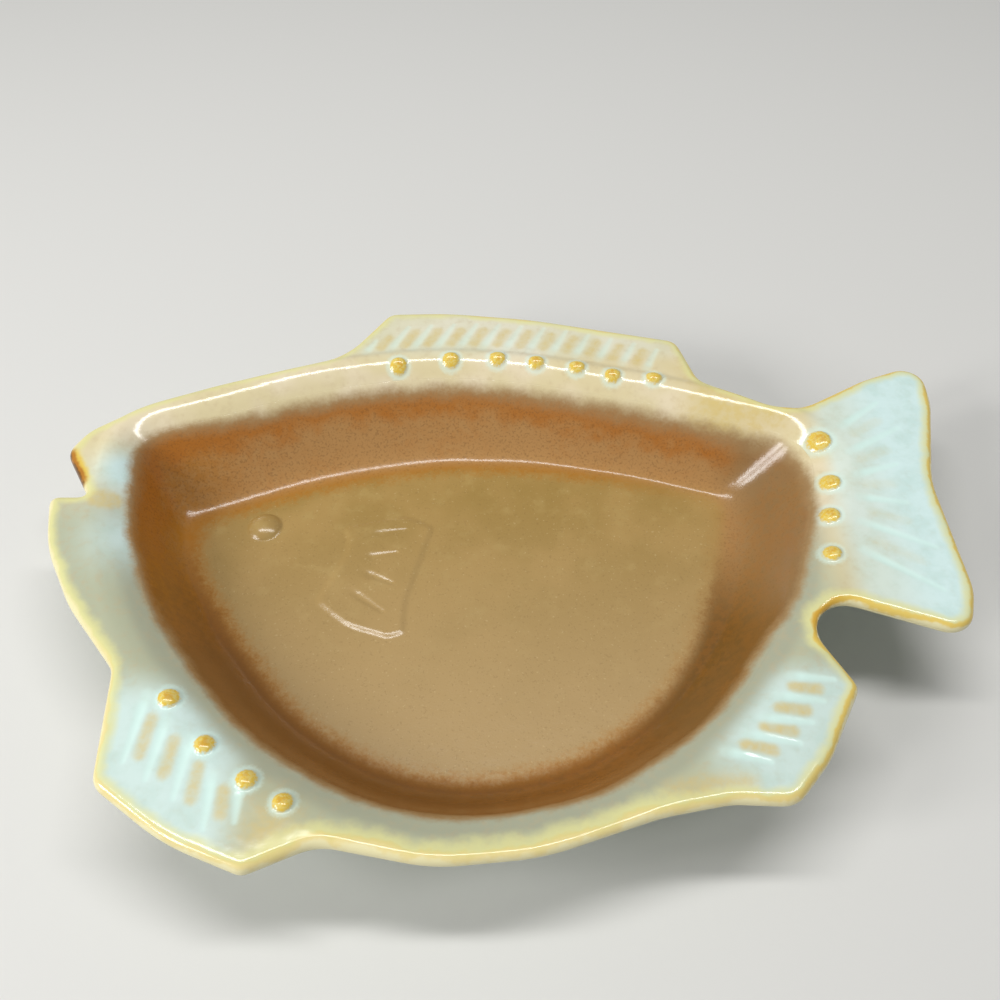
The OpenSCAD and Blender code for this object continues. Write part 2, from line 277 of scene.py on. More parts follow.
# The back has a crest that falls to the flange, and the front climbs gently all the way to its lip
def crestShare(points):
    return smooth(points.imag, *dish["crestFrom"]) * smooth(points.real, *dish["crestEnd"])


def shoulderReach(points):
    return dish["frontShoulder"] + (dish["shoulderWidth"] - dish["frontShoulder"]) * crestShare(points)


def shoulderClimb(points):
    return dish["shoulderDrop"] - dish["flangeDrop"] * (1 - crestShare(points))


def rimHeight(points, wellGap, roll=1.0):
    t = np.clip(wellGap / shoulderReach(points), 0, 1)
    first, second, third = dish["shoulderCurve"]
    rise = shoulderClimb(points) * (first * t + second * t ** 2 + third * t ** 3)
    fall = smooth(wellGap, dish["shoulderWidth"], dish["shoulderWidth"] + dish["crestFall"])
    top = wellEdgeZ + rise - dish["flangeDrop"] * crestShare(points) * fall
    return lipZ + (top - lipZ) * roll


def lipRoll(edgeGap):
    return np.sqrt(1 - np.clip(1 - edgeGap / dish["lipRadius"], 0, 1) ** 2)


def enter(mode):
    bpy.ops.object.mode_set(mode=mode)


def deselect():
    if bpy.context.object and bpy.context.object.mode != "OBJECT":
        enter("OBJECT")
    bpy.ops.object.select_all(action="DESELECT")


def activate(piece):
    deselect()
    piece.select_set(True)
    bpy.context.view_layer.objects.active = piece


# A row that would cut across an inward corner is held inside the lip there
def heldInside(points, depth):
    nearest = np.array([fishTree.find((p.real, p.imag, 0))[1] for p in points])
    out = fishNormals[nearest]
    inward = ((fishPath[nearest] - points) * out.conjugate()).real
    return points - out * np.maximum(depth - inward, 0)


relaxing = {
    "inwardCorners": [(0.266, -0.060), (0.329, 0.176), (-0.457, 0.050)],  # notch, waist and mouth
    "reach": (46, 26),  # rows move fully within the second distance, and not past the first
    "ease": 0.8,
    "turns": 400,
    "roomShare": 0.1,
    "mostRoom": 4,
}


# Rows from one closed line to the next; near the inward corners they are relaxed until none crosses another
def rowsBetween(outer, inner, count):
    room = np.minimum(relaxing["roomShare"] * np.abs(outer - inner), relaxing["mostRoom"])
    rows = [outer]
    for t in np.linspace(0, 1, count)[1:-1]:
        rows.append(heldInside(outer + (inner - outer) * t, dish["lipRadius"] + room * t))
    rows = np.array(rows + [inner])
    away = np.min([np.abs(rows - place(x, y)) for x, y in relaxing["inwardCorners"]], axis=0)
    ease = relaxing["ease"] * smooth(away, *relaxing["reach"])[1:-1]
    for turn in range(relaxing["turns"]):
        ahead, behind = np.roll(rows, -1, 1), np.roll(rows, 1, 1)
        along, across = (ahead - behind) / 2, (rows[2:] - rows[:-2]) / 2
        a, b, c = np.abs(across) ** 2, (along[1:-1] * across.conjugate()).real, np.abs(along[1:-1]) ** 2
        goal = a * (ahead + behind)[1:-1] + c * (rows[2:] + rows[:-2]) - b * (along[2:] - along[:-2])
        rows[1:-1] += ease * (goal / (2 * a + 2 * c) - rows[1:-1])
    return rows


def level(height):
    return np.full(spokes, height)


# A grid is added, its rows are set onto the rings from the edge inward, and its ends are merged into a ring
def ringSheet(name, rings, flip=False):
    deselect()
    bpy.ops.mesh.primitive_grid_add(x_subdivisions=len(rings[0][0]), y_subdivisions=len(rings) - 1, size=1)
    sheet = bpy.context.object
    sheet.name = name
    sheet.data.name = name
    flat = np.concatenate([np.append(points, points[0]) for points, heights in rings])
    heights = np.concatenate([np.append(heights, heights[0]) for points, heights in rings])
    setPositions(sheet, flat, heights)
    enter("EDIT")
    bpy.ops.mesh.select_all(action="SELECT")
    bpy.ops.mesh.remove_doubles(threshold=mm * 1e-4)
    if flip:
        bpy.ops.mesh.flip_normals()
    enter("OBJECT")
    return sheet


def positions(piece):
    co = np.empty(len(piece.data.vertices) * 3)
    piece.data.vertices.foreach_get("co", co)
    co = co.reshape(-1, 3) / mm
    return co[:, 0] + 1j * co[:, 1], co[:, 2]


def setPositions(piece, points, heights):
    co = np.stack([points.real, points.imag, heights], axis=1) * mm
    piece.data.vertices.foreach_set("co", co.ravel())
    piece.data.update()


def store(piece, name, values):
    layer = piece.data.attributes.get(name) or piece.data.attributes.new(name, "FLOAT", "POINT")
    layer.data.foreach_set("value", np.asarray(values, np.float32))


def storeEven(piece, name, value):
    store(piece, name, np.full(len(piece.data.vertices), value))


def stored(piece, name):
    values = np.empty(len(piece.data.vertices), np.float32)
    piece.data.attributes[name].data.foreach_get("value", values)
    return values


# The coat's thickness goes inward, and its first skin is marked as the one that shows
def thicken(piece):
    outerCount = len(piece.data.vertices)
    activate(piece)
    modifier = piece.modifiers.new("coat", "SOLIDIFY")
    modifier.thickness = dish["glaze"] * mm
    modifier.offset = -1
    bpy.ops.object.modifier_apply(modifier=modifier.name)
    store(piece, "outerSkin", np.arange(len(piece.data.vertices)) < outerCount)


# Faces of the skin that shows are subdivided where closeness is less than reach
def refine(piece, closeness, reach, cuts=1):
    faces = piece.data.polygons
    centres = np.empty(len(faces) * 3)
    faces.foreach_get("center", centres)
    centres = centres.reshape(-1, 3) / mm
    outer = stored(piece, "outerSkin")
    corners = np.array([outer[list(f.vertices)].min() for f in faces])
    chosen = (closeness(centres[:, 0] + 1j * centres[:, 1]) < reach) & (corners > 0.5)
    activate(piece)
    enter("EDIT")
    bpy.ops.mesh.select_mode(type="FACE")
    bpy.ops.mesh.select_all(action="DESELECT")
    enter("OBJECT")
    faces.foreach_set("select", chosen)
    enter("EDIT")
    bpy.ops.mesh.subdivide(number_cuts=cuts)
    enter("OBJECT")


def finishPiece(piece, material, slotName, *nodes):
    piece.data.materials.clear()
    piece.data.materials.append(material)
    activate(piece)
    bpy.ops.object.shade_smooth()
    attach(piece, "root")
    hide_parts(*nodes)


# Rays of the fins, each from its wide foot to its narrow tip, in shares of the length
rays = {
    "width": 3.6,
    "depth": 0.2,  # shallow, because glaze has pooled in them
    "tail": [
        (0.384, 0.153, 0.432, 0.191), (0.384, 0.113, 0.447, 0.150), (0.385, 0.079, 0.432, 0.094),
        (0.381, 0.046, 0.429, 0.038), (0.375, 0.012, 0.444, -0.022), (0.368, -0.026, 0.437, -0.076),
    ],
    "pelvic": [
        (-0.338, -0.194, -0.345, -0.262), (-0.315, -0.221, -0.321, -0.279), (-0.289, -0.239, -0.293, -0.297),
        (-0.263, -0.275, -0.262, -0.324), (-0.237, -0.288, -0.236, -0.318),
    ],
    "anal": [
        (0.266, -0.175, 0.305, -0.179), (0.250, -0.196, 0.291, -0.202), (0.232, -0.219, 0.276, -0.224),
        (0.215, -0.235, 0.261, -0.245), (0.193, -0.252, 0.232, -0.263),
    ],
    "dorsalCount": 13,
    "dorsalFrom": -0.173,  # the feet of the dorsal rays stand on an arc
    "dorsalTo": 0.168,
    "dorsalTop": 0.287,
    "dorsalMiddle": -0.059,
    "dorsalBend": 0.717,
    "dorsalStep": (0.021, 0.044),
    "dorsalFirst": 0.5,  # the first ray is short, and the last ones get shorter
    "dorsalLoss": 0.25,
    "footHalf": 0.62,  # half width at the foot, in widths, and what it loses to the tip
    "taper": 0.3,
    "runIn": 0.25,  # share of the ray in which it deepens
    "footDepth": 0.3,
    "tipLoss": 0.45,
    "grooveReach": 1.15,  # in half widths
    "footPool": 0.4,
    "poolLoss": 0.35,
    "poolReach": (0.2, 1.4),
    "patch": (0.2, 0.75),  # the honey patches between rays, as shares of their length
}
beads = {
    "width": 7.0,
    "height": 1.6,
    "skirt": 1.06,
    "domePowers": (2.4, 0.75),
    "far": 9.0,  # in half widths, where a bead no longer colours the glaze
    "places": [
        (-0.132, 0.256, 1), (-0.069, 0.265, 1), (-0.012, 0.266, 1), (0.035, 0.259, 0.95),
        (0.084, 0.250, 0.95), (0.126, 0.236, 0.95), (0.175, 0.231, 0.95), (0.354, 0.132, 1.3),
        (0.354, 0.071, 1.1), (0.344, 0.024, 1.05), (0.335, -0.029, 0.95), (-0.317, -0.198, 1),
        (-0.275, -0.245, 0.95), (-0.232, -0.279, 0.95), (-0.197, -0.300, 0.9),
    ],
}


def placedLines(ends):
    return [(place(a, b), place(c, d)) for a, b, c, d in ends]


def dorsalLines():
    lines = []
    for i in range(rays["dorsalCount"]):
        share = i / (rays["dorsalCount"] - 1)
        x = rays["dorsalFrom"] + (rays["dorsalTo"] - rays["dorsalFrom"]) * share
        y = rays["dorsalTop"] - rays["dorsalBend"] * (x - rays["dorsalMiddle"]) ** 2
        reach = rays["dorsalFirst"] if i == 0 else 1 - rays["dorsalLoss"] * share ** 3
        stepX, stepY = rays["dorsalStep"]
        lines.append((place(x, y), place(x + stepX * reach, y + stepY * reach)))
    return lines


# The rays' depth at each point, the share of the glaze that pools in them, and the gap to the nearest one
def rayMarks(points, lines, width=1, depth=1):
    groove, pool = np.zeros(len(points)), np.zeros(len(points))
    gap = np.full(len(points), 1e3)
    poolFull, poolEnd = rays["poolReach"]
    for start, end in lines:
        run = end - start
        t = np.clip(((points - start) * run.conjugate()).real / abs(run) ** 2, 0, 1)
        away = np.abs(points - start - run * t)
        half = width * (rays["footHalf"] - rays["taper"] * t)
        deepening = smooth(t, 0, rays["runIn"])
        deep = depth * (rays["footDepth"] + (1 - rays["footDepth"]) * deepening) * (1 - rays["tipLoss"] * t)
        groove = np.maximum(groove, deep * (1 - smooth(away, 0, half * rays["grooveReach"])))
        strip = (rays["footPool"] + (1 - rays["footPool"]) * deepening) * (1 - rays["poolLoss"] * t)
        pool = np.maximum(pool, strip * (1 - smooth(away, half * poolFull, half * poolEnd)))
        gap = np.minimum(gap, away)
    return groove, pool, gap


# The beads' height at each point, and how near the nearest one's middle is, in its half widths
def beadMarks(points):
    dome, near = np.zeros(len(points)), np.full(len(points), beads["far"])
    flatness, roundness = beads["domePowers"]
    for x, y, share in beads["places"]:
        away = np.abs(points - place(x, y)) / (beads["width"] * share / 2)
        cap = np.clip(1 - (away / beads["skirt"]) ** flatness, 0, 1) ** roundness
        dome = np.maximum(dome, beads["height"] * cap)
        near = np.minimum(near, away)
    return dome, near


# Middle lines of the patches between neighbouring rays
def patchLines(fins):
    start, end = rays["patch"]
    patches = []
    for lines in fins:
        for (foot, tip), (nextFoot, nextTip) in zip(lines, lines[1:]):
            low, high = (foot + nextFoot) / 2, (tip + nextTip) / 2
            patches.append((low + (high - low) * start, low + (high - low) * end))
    return patches


fins = [placedLines(rays["tail"]), placedLines(rays["pelvic"]), placedLines(rays["anal"]), dorsalLines()]
finRays = sum(fins, [])

rimSkin = {
    "lipAngles": (0, 2, 5, 10, 17, 26, 36, 47, 59, 73, 90),
    "rows": 30,
    "shoulderShares": (0.88, 0.76, 0.64, 0.52, 0.4, 0.29, 0.18, 0.09, 0.03, 0.01, 0),
    "trustedEdge": 1.2,  # nearer the edge than this, a ring's own angle gives the lip's roll
    "fineReach": 3.4,  # finer faces this near to a ray's middle
    "beadSkirt": 1.5,
    "backing": 0.4,  # the coat's hidden skin keeps this far under the rays
    "backingReach": (2.5, 5),
    "calmAtEdge": 6,
    "calmAtWell": 4,
    "creaseAway": 30,
    "dorsalPoolLoss": 0.4,
    "dorsalFrom": (82, 90),
}


# The rim's coat: lip, flange with its fins, crest and shoulder
def makeRim():
    rings = []
    for a in np.radians(rimSkin["lipAngles"]):
        points = fishSpokes - fishOut * dish["lipRadius"] * (1 - math.cos(a))
        rings.append((points, level(lipZ + dish["lipRadius"] * math.sin(a))))
    rings += [(row, level(flangeZ)) for row in rowsBetween(rings[-1][0], crestLine, rimSkin["rows"])[1:]]
    for share in rimSkin["shoulderShares"]:
        rings.append((wellSpokes + wellOut * dish["shoulderWidth"] * spread * share, level(flangeZ)))
    rim = ringSheet("rimGlaze", rings)

    points, heights = positions(rim)
    wellGap, edgeGap = gapsTo(wellTree, points), gapsTo(fishTree, points)
    ringRoll = np.clip((heights - lipZ) / dish["lipRadius"], 0, 1)
    roll = np.where(edgeGap > rimSkin["trustedEdge"], np.minimum(ringRoll, lipRoll(edgeGap)), ringRoll)
    setPositions(rim, points, rimHeight(points, wellGap, roll))
    store(rim, "roll", roll)
    thicken(rim)

    def toDetail(p):
        toBead = beadMarks(p)[1] * beads["width"] / 2 - rimSkin["beadSkirt"]
        return np.minimum(rayMarks(p, finRays)[2], toBead)

    refine(rim, toDetail, rimSkin["fineReach"])
    points, heights = positions(rim)
    outer = stored(rim, "outerSkin") > 0.5
    wellGap, edgeGap = gapsTo(wellTree, points), gapsTo(fishTree, points)
    groove, pool, rayGap = rayMarks(points, finRays, rays["width"], rays["depth"])
    dome, near = beadMarks(points)
    detailed = rimHeight(points, wellGap, stored(rim, "roll")) - groove + dome
    sunk = heights - (rays["depth"] + rimSkin["backing"]) * (1 - smooth(rayGap, *rimSkin["backingReach"]))
    calm = smooth(edgeGap, 0, rimSkin["calmAtEdge"]) * smooth(wellGap, 0, rimSkin["calmAtWell"])
    setPositions(rim, points, np.where(outer, detailed, sunk) + unevenness(points) * calm)
    store(rim, "wellMm", wellGap)
    store(rim, "edgeMm", edgeGap)
    store(rim, "creaseMm", wellGap + rimSkin["creaseAway"])
    store(rim, "pool", pool * (1 - rimSkin["dorsalPoolLoss"] * smooth(points.imag, *rimSkin["dorsalFrom"])))
    store(rim, "beadNear", near)
    print("rim", len(rim.data.polygons), "faces")
    return rim


eye = {"place": (-0.282, 0.071), "width": 13.5, "height": 2.5, "roundness": 0.8, "fineRadius": 9}
pectoral = {
    "height": 0.6,
    "bevel": (-0.5, 2.7),  # across its outline, from outside to inside
    "rayWidth": 4.2,
    "rayDepth": 0.5,
    "outlinePoints": 900,
    "fineMiddle": (-0.148, 0.0),
    "fineRadius": 33,
    "corners": [
        (-0.191, 0.072, 0.009), (-0.183, 0.040, 0.050), (-0.213, -0.034, 0.012), (-0.176, -0.066, 0.060),
        (-0.129, -0.082, 0.020), (-0.110, -0.075, 0.008), (-0.110, -0.035, 0.060), (-0.084, 0.071, 0.009),
        (-0.118, 0.090, 0.040),
    ],
    "rays": [
        (-0.159, 0.059, -0.118, 0.066), (-0.162, 0.026, -0.127, 0.033), (-0.162, 0.006, -0.129, -0.009),
        (-0.174, -0.019, -0.137, -0.047),
    ],
}
well = {
    "shares": (1, 0.995, 0.98, 0.95, 0.91, 0.86, 0.81, 0.76, 0.7, 0.64, 0.58, 0.52, 0.46, 0.4, 0.35, 0.3,
               0.26, 0.22, 0.185, 0.15, 0.12, 0.09, 0.06, 0.03, 0),
    "knots": (0, 0.1, 0.25, 0.72, 1),  # shares of the wall's run, from the floor out
    "broadHeights": (0, 0.012, 0.095, 0.66, 1),  # its height and slope there with a broad fillet
    "broadSlopes": (0, 0.28, 0.82, 1.25),
    "tightHeights": (0, 0.018, 0.065, 0.04, 0),  # what a tight fillet adds to them
    "tightSlopes": (0, 0.34, 0.32, -0.09),
    "edgeSlopes": (0.3, 1.1),  # least and most at the well's edge
    "tightness": 0.2,
    "tightFrom": (-30, 25),  # over these y
    "floorRings": 46,
    "pole": (0.12, -0.03),
    "reliefCuts": 4,
    "creasePoints": 400,
}


def isInside(path, points):
    inside = np.zeros(len(points), bool)
    for start, end in zip(path, np.roll(path, -1)):
        crosses = (start.imag > points.imag) != (end.imag > points.imag)
        if crosses.any():
            across = (points.imag - start.imag) / (end.imag - start.imag + 1e-12)
            inside ^= crosses & (points.real < start.real + across * (end.real - start.real))
    return inside


# The raised eye, and the pectoral fin with its rays
def floorRelief(points):
    away = np.abs(points - place(*eye["place"])) / (eye["width"] / 2)
    relief = eye["height"] * np.clip(1 - away ** 2, 0, 1) ** eye["roundness"]
    path = evenly(fitted(cornerPath(pectoral["corners"])), pectoral["outlinePoints"])
    gap = gapsTo(treeOf(path), points)
    signed = np.where(isInside(path, points), gap, -gap)
    relief += pectoral["height"] * smooth(signed, *pectoral["bevel"])
    relief -= rayMarks(points, placedLines(pectoral["rays"]), pectoral["rayWidth"], pectoral["rayDepth"])[0]
    return relief


# Rise of the wall: a fillet out of the floor, tighter along the back, then a slope and its turn into the rim
def wallRise(t, tight, endSlope):
    knots = well["knots"]
    values = [broad + more * tight for broad, more in zip(well["broadHeights"], well["tightHeights"])]
    slopes = [broad + more * tight for broad, more in zip(well["broadSlopes"], well["tightSlopes"])]
    slopes.append(endSlope)
    k = min(int(np.searchsorted(knots, t, side="right")) - 1, len(knots) - 2)
    wide = knots[k + 1] - knots[k]
    u = (t - knots[k]) / wide
    return ((2 * u ** 3 - 3 * u ** 2 + 1) * values[k] + (u ** 3 - 2 * u ** 2 + u) * wide * slopes[k]
            + (3 * u ** 2 - 2 * u ** 3) * values[k + 1] + (u ** 3 - u ** 2) * wide * slopes[k + 1])


def wallRings(lift=0):
    wallHeight = wellEdgeZ - floorZ
    run = np.abs(((wellSpokes - floorSpokes) * wellOut.conjugate()).real)
    edgeSlope = dish["shoulderCurve"][0] * shoulderClimb(wellSpokes) / shoulderReach(wellSpokes)
    endSlope = np.clip(edgeSlope * run / wallHeight, *well["edgeSlopes"])
    tight = well["tightness"] * smooth(floorSpokes.imag, *well["tightFrom"])
    rings = []
    for t in well["shares"]:
        heights = floorZ + wallHeight * wallRise(t, tight, endSlope) + lift
        rings.append((floorSpokes + (wellSpokes - floorSpokes) * t, heights))
    return rings


# The floor's rings shrink towards a point near the tail, so that they lie close and even under the relief
def makeWell():
    rings = wallRings()
    pole = place(*well["pole"])
    for t in np.linspace(1, 0, well["floorRings"] + 1)[1:]:
        rings.append((pole + (floorSpokes - pole) * t, level(floorZ)))
    coat = ringSheet("wellGlaze", [(points[::2], heights[::2]) for points, heights in rings])
    thicken(coat)
    middle, eyeAt = place(*pectoral["fineMiddle"]), place(*eye["place"])

    def toRelief(p):
        return np.minimum(np.abs(p - middle) - pectoral["fineRadius"], np.abs(p - eyeAt) - eye["fineRadius"])

    refine(coat, toRelief, 0, well["reliefCuts"])
    points, heights = positions(coat)
    heights = heights + np.where(stored(coat, "outerSkin") > 0.5, floorRelief(points), 0)
    creaseGap = gapsTo(treeOf(floorPath), points)
    onFloor = isInside(evenly(floorPath, well["creasePoints"]), points)
    store(coat, "wellMm", -gapsTo(wellTree, points))
    store(coat, "edgeMm", gapsTo(fishTree, points))
    store(coat, "creaseMm", np.where(onFloor, -creaseGap, creaseGap))
    storeEven(coat, "pool", 0)
    storeEven(coat, "beadNear", beads["far"])
    setPositions(coat, points, heights)
    print("well", len(coat.data.polygons), "faces")
    return coat


underside = {
    "rows": 15,
    "fillet": (0.98, 1),  # its start past the well's edge: a share of the shoulder, and millimetres
    "sides": [  # share of the way out from the floor, millimetres out of that line, height
        (1, 8.4, 32.4), (0.97, 6.3, 30.9), (0.88, 4.6, 27.6), (0.75, 4.55, 24.0), (0.6, 4.5, 19.8),
        (0.45, 4.4, 15.4), (0.33, 4.2, 11.9), (0.25, 3.9, 9.3), (0.18, 3.4, 7.5), (0.12, 2.9, 6.3),
    ],
    "narrowAbove": 0.9,
    "slantShare": 0.8,
    "footSides": [(1.9, 5.2), (1.0, 4.4), (0.45, 3.7)],  # millimetres out of the floor's line, height
}
foot = {
    "outerSteps": [(0.15, 1.6), (0, 1.0), (-0.2, 0.35), (-dish["footChamfer"], 0), (-2.2, 0), (-3.8, 0)],
    "innerSteps": [(0.6, 0), (1.25, 0.3), (1.5, 0.9), (1.8, 2.2), (2.1, 3.4)],
    "topStep": (0.5, 3.6),
}
recessShape = {
    "inset": 2.0,
    "steps": [(0, 3.1), (0.35, 3.7), (1.0, 4.0)],
    "shares": (0.97, 0.92, 0.85, 0.75, 0.62, 0.48, 0.34, 0.2, 0.08, 0),
}


# Outside of the bowl and the underside of the flange, in from the lip to the foot ring
def outsideProfile(skin=0):
    rings = []
    r = dish["lipRadius"] - skin
    for a in np.radians(rimSkin["lipAngles"]):
        points = fishSpokes - fishOut * (dish["lipRadius"] - r * math.cos(a))
        rings.append((points, level(lipZ - r * math.sin(a))))
    share, extra = underside["fillet"]
    fillet = wellSpokes + wellOut * (dish["shoulderWidth"] * share + extra) * spread
    rows = rowsBetween(rings[-1][0], fillet, underside["rows"])[1:]
    rings += [(row, level(lipZ - dish["lipRadius"] + skin)) for row in rows]
    for run, shift, height in underside["sides"]:
        away = wellOut * (shift - skin) * (spread if run > underside["narrowAbove"] else 1)
        points = floorSpokes + (wellSpokes - floorSpokes) * run + away
        rings.append((points, level(height + skin * underside["slantShare"])))
    return rings


def makeOutside():
    rings = outsideProfile()
    rings += [(floorSpokes + floorOut * shift, level(height)) for shift, height in underside["footSides"]]
    outside = ringSheet("outsideGlaze", rings, flip=True)
    thicken(outside)
    points = positions(outside)[0]
    store(outside, "edgeMm", gapsTo(fishTree, points))
    store(outside, "wellMm", gapsTo(wellTree, points))
    print("outside", len(outside.data.polygons), "faces")
    return outside


def footRings(skin=0):
    topShift, topHeight = foot["topStep"]
    steps = [(topShift - skin, topHeight)] + foot["outerSteps"]
    steps += [(-dish["footWidth"] - shift, height) for shift, height in foot["innerSteps"]]
    return [(floorSpokes + floorOut * shift, level(height)) for shift, height in steps]


def makeRecess():
    start = floorSpokes - floorOut * (dish["footWidth"] + recessShape["inset"])
    rings = [(start - floorOut * shift, level(height)) for shift, height in recessShape["steps"]]
    centre, last = start.mean(), rings[-1][0]
    for t in recessShape["shares"]:
        rings.append((centre + (last - centre) * t, level(dish["footHeight"])))
    recess = ringSheet("recessGlaze", rings, flip=True)
    thicken(recess)
    print("recess", len(recess.data.polygons), "faces")
    return recess


# The clay keeps a little behind the coats; only its foot ring is seen
def makeClay():
    hidden = dish["glaze"] + 0.15
    under = rays["depth"] + rimSkin["backing"] + hidden * 1.5
    centre = floorSpokes.mean()
    rings = []
    for t in (0, 0.3, 0.6, 0.9):
        rings.append((centre + (floorSpokes - centre) * t, level(floorZ - hidden * 1.6)))
    rings += reversed(wallRings(-hidden * 2))
    rows = [wellSpokes + wellOut * dish["shoulderWidth"] * spread * share for share in (0.3, 0.6, 1)]
    fishIn = fishSpokes - fishOut * dish["lipRadius"]
    rows += list(rowsBetween(fishIn, crestLine, 15)[-4::-3])
    for row in rows:
        rings.append((row, rimHeight(row, gapsTo(wellTree, row)) - under))
    rings += outsideProfile(hidden)
    rings += footRings(hidden)
    start = rings[-1][0]
    for t in (0.95, 0.6, 0.3, 0):
        rings.append((start.mean() + (start - start.mean()) * t, level(dish["footHeight"] + hidden)))
    clay = ringSheet("stonewareBody", rings, flip=True)
    print("clay", len(clay.data.polygons), "faces")
    return clay


def linear(hexColour):
    values = [int(hexColour[i:i + 2], 16) / 255 for i in (1, 3, 5)]
    return tuple(v / 12.92 if v <= 0.04045 else ((v + 0.055) / 1.055) ** 2.4 for v in values) + (1,)


def addNode(tree, kind, settings=None, inputs=None, stops=None):
    node = tree.nodes.new("ShaderNode" + kind)
    for name, value in (settings or {}).items():
        setattr(node, name, value)
    for name, value in (inputs or {}).items():
        if isinstance(value, bpy.types.NodeSocket):
            tree.links.new(value, node.inputs[name])
        else:
            node.inputs[name].default_value = value
    for i, (at, colour) in enumerate(stops or []):
        stop = node.color_ramp.elements[i] if i < 2 else node.color_ramp.elements.new(at)
        stop.position, stop.color = at, linear(colour)
    return node


def emptyMaterial(name):
    material = bpy.data.materials.new(name)
    material.use_nodes = True
    material.node_tree.nodes.clear()
    return material, material.node_tree


def finishSurface(tree, look, inputs, relief):
    bump = addNode(tree, "Bump", None, {
        "Strength": look["bumpStrength"], "Distance": look["bumpMm"] * mm, "Height": relief}).outputs[0]
    shader = addNode(tree, "BsdfPrincipled", None, {**inputs, "Normal": bump}).outputs[0]
    addNode(tree, "OutputMaterial", None, {"Surface": shader})


# Stoneware glazes, poured on and fired to a wet gloss: next to the well's iron brown the rim has a milky one,
# which stays aqua where it pools, greys to sage over the front, and breaks to honey over beads and edges;
# some colours here are painted light and shade, as marked
glaze = {
    "cream": "#DDCFA4",
    "palePink": "#E6D8B8",
    "sage": "#B5B89C",
    # painted shade on the shoulder's slope near the well
    "sagePaintedShade": "#A9AB93",
    "aqua": "#D8EFEC",
    "aquaDeep": "#C8E2DB",
    "mint": "#D8F5EC",
    "lemon": "#E2DE9A",
    "lipCream": "#EDE3B4",
    "honey": "#E5C24E",
    "paleHoney": "#D2BF84",
    "amber": "#C98E2E",
    "toast": "#C2AC85",
    "borderTan": "#A68A60",
    "rust": "#AC6A22",
    # the tan back wall and dark brown front wall are partly painted light and shade
    "wallTan": "#B28650",
    "wallBrown": "#7D511E",
    # a painted reflection of the lamps on the wall towards the tail
    "wallPaintedReflection": "#8E6F46",
    "wallOlive": "#6B4D20",
    "floorTan": "#AA8A4D",
    "floorOlive": "#9D7F40",
    "floorGrey": "#B09558",
    # a painted reflection of the overhead lamp, lightening the floor's front
    "floorPaintedReflection": "#B4986A",
    "bandGold": "#A96F1C",
    "speckDark": "#5E4222",
    "speckPale": "#CDB583",
    "broadMm": 30,  # clouds of thick and thin glaze
    "blotchMm": 9,
    "clusterMm": 3,
    "grainMm": 1.0,
    "speckMm": 0.9,  # iron specks, about twice as coarse as real so that they show
    "paleSpeckMm": 1.3,  # pinholes and pale specks, coarser than real for the same reason
    "peelMm": 6,  # slow waves of the fired surface
    "pimpleMm": 0.8,  # fine pimples, mostly in the brown glaze
    "bumpMm": 0.22,
    "bumpStrength": 0.5,
    "noiseRoughness": 0.6,
    "poolStrength": 0.78,
    "ior": 1.52,
}


